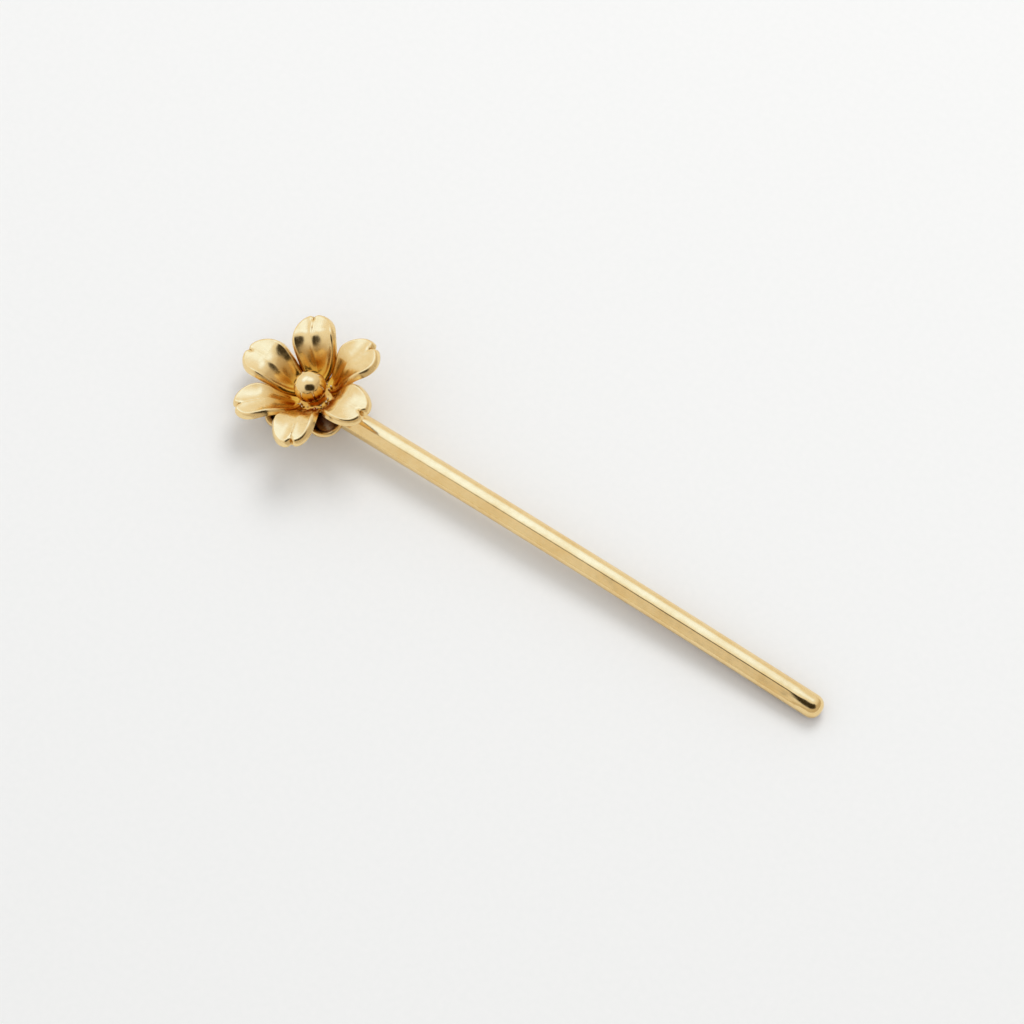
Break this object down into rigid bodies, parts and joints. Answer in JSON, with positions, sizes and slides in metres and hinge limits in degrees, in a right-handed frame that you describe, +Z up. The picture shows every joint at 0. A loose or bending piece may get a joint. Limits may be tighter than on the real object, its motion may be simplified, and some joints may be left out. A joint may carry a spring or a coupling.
{
  "type": "hairpin",
  "caption": "Straight round hair stick with a blunt tip, a slight bow and a leaning open flower with a ball centre on its head end.",
  "frame": {"origin": "centre of the flat foot of the saddle block under the flower, on the surface that the hairpin lies on", "axes": "+X along the shank from the flower to the blunt tip, +Z up from the surface that the hairpin lies on, +Y to the left of +X"},
  "size_m": [0.1124, 0.0238, 0.013],
  "materials": {
    "satin_gold": "gold-plated brass, drawn and brushed to a satin sheen",
    "bright_gold": "gold-plated brass, polished"
  },
  "bodies": {
    "root": {"shank": "satin_gold", "saddle": "satin_gold", "post": "satin_gold", "calyx": "bright_gold", "petal_1": "bright_gold", "petal_2": "bright_gold", "petal_3": "bright_gold", "petal_4": "bright_gold", "petal_5": "bright_gold", "petal_6": "bright_gold", "ball": "bright_gold", "bead_ring": "bright_gold"}
  },
  "joints": []
}
